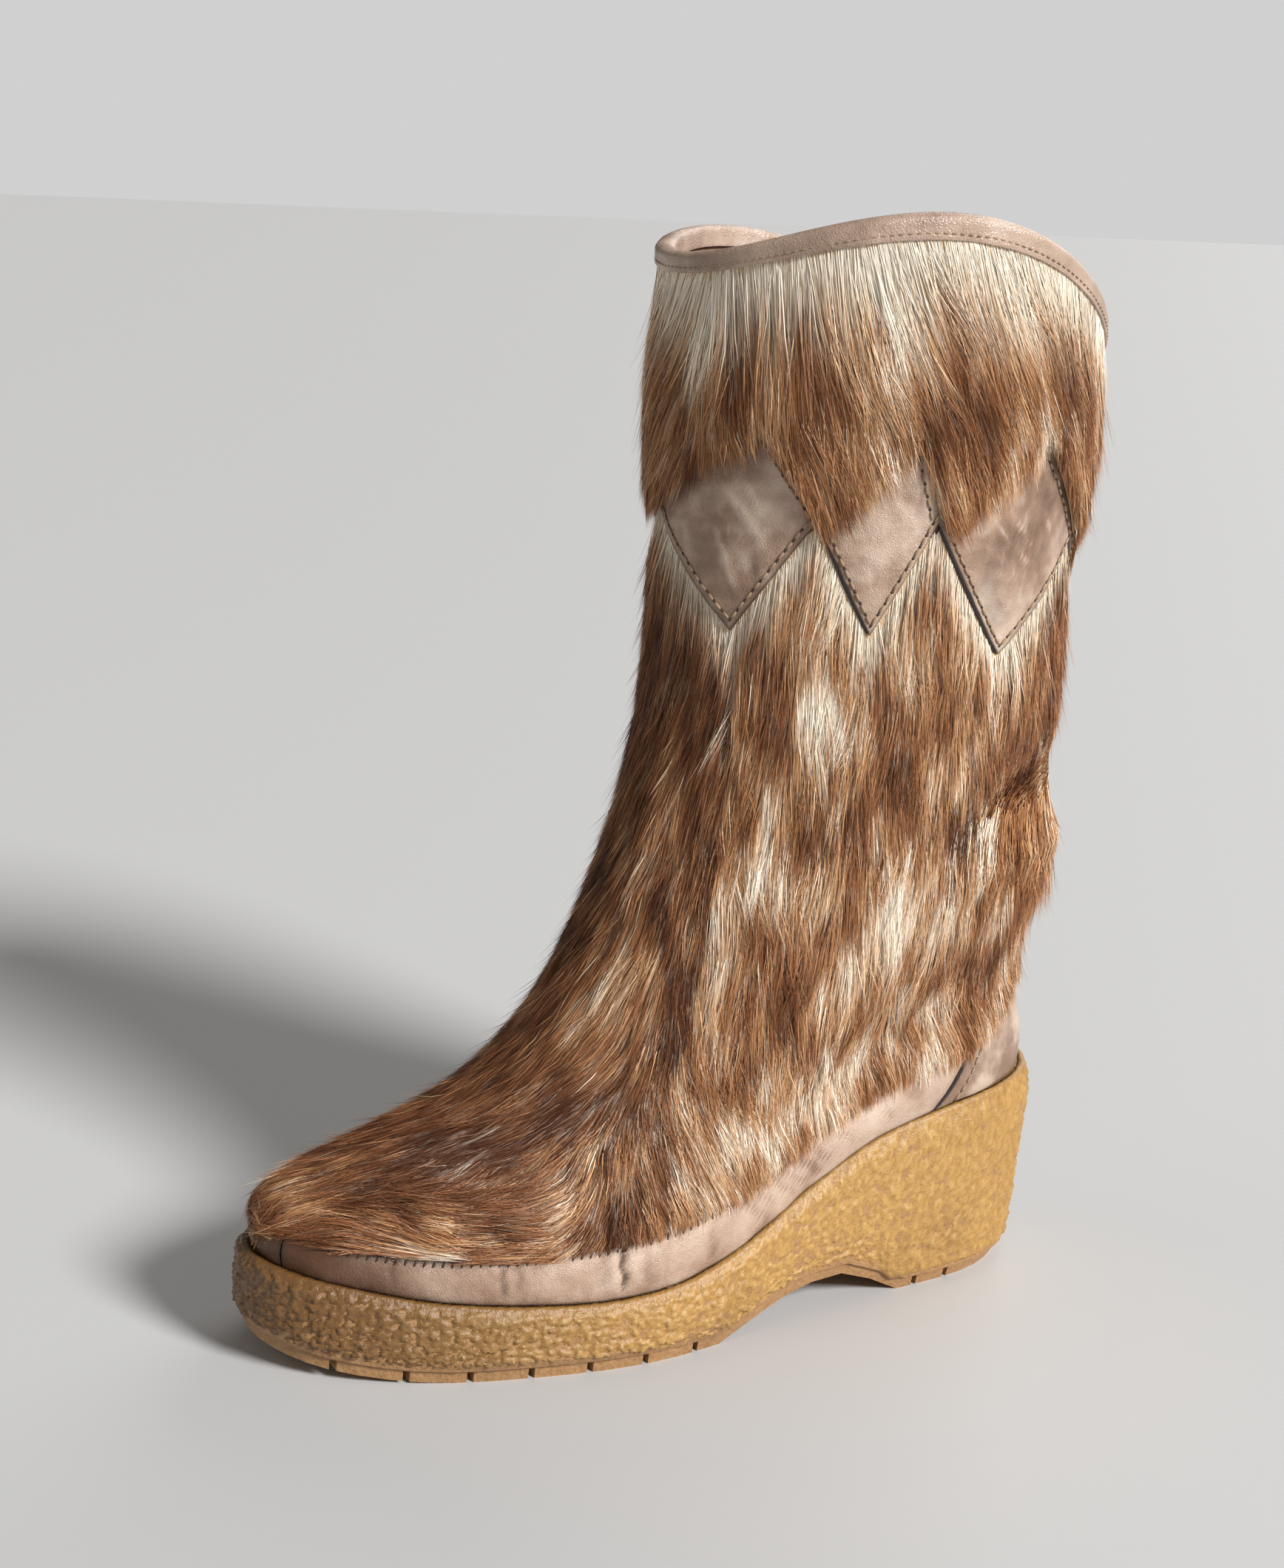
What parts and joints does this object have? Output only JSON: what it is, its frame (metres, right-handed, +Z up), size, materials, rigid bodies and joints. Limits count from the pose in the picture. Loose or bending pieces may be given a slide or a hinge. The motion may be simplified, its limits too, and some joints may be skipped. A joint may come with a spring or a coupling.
{
  "type": "apres-ski boot",
  "caption": "Pull-on left apres-ski boot of long hair-on hide with a pointed leather band, leather rand and heel counter, bound collar and moulded crepe wedge sole.",
  "frame": {"origin": "on the floor under the middle of the boot", "axes": "+Z up along the shaft, toe towards -Y, heel towards +Y, outer side of the left foot at +X"},
  "size_m": [0.1294, 0.2712, 0.338],
  "materials": {
    "crepe": "matte lumpy crepe rubber",
    "lining": "thin smooth lining leather",
    "hide": "skin side of the hide, lined",
    "hair": "long mottled goat-like hair",
    "taupe_leather": "worn smooth leather"
  },
  "bodies": {
    "root": {"sole": "crepe", "insole": "lining", "upper": "hide", "rand_outer": "taupe_leather", "rand_inner": "taupe_leather", "heel_counter": "taupe_leather", "fur_front": "hair", "fur_quarters": "hair", "point_band": "taupe_leather", "fur_cuff": "hair", "collar_binding": "taupe_leather"}
  },
  "joints": []
}
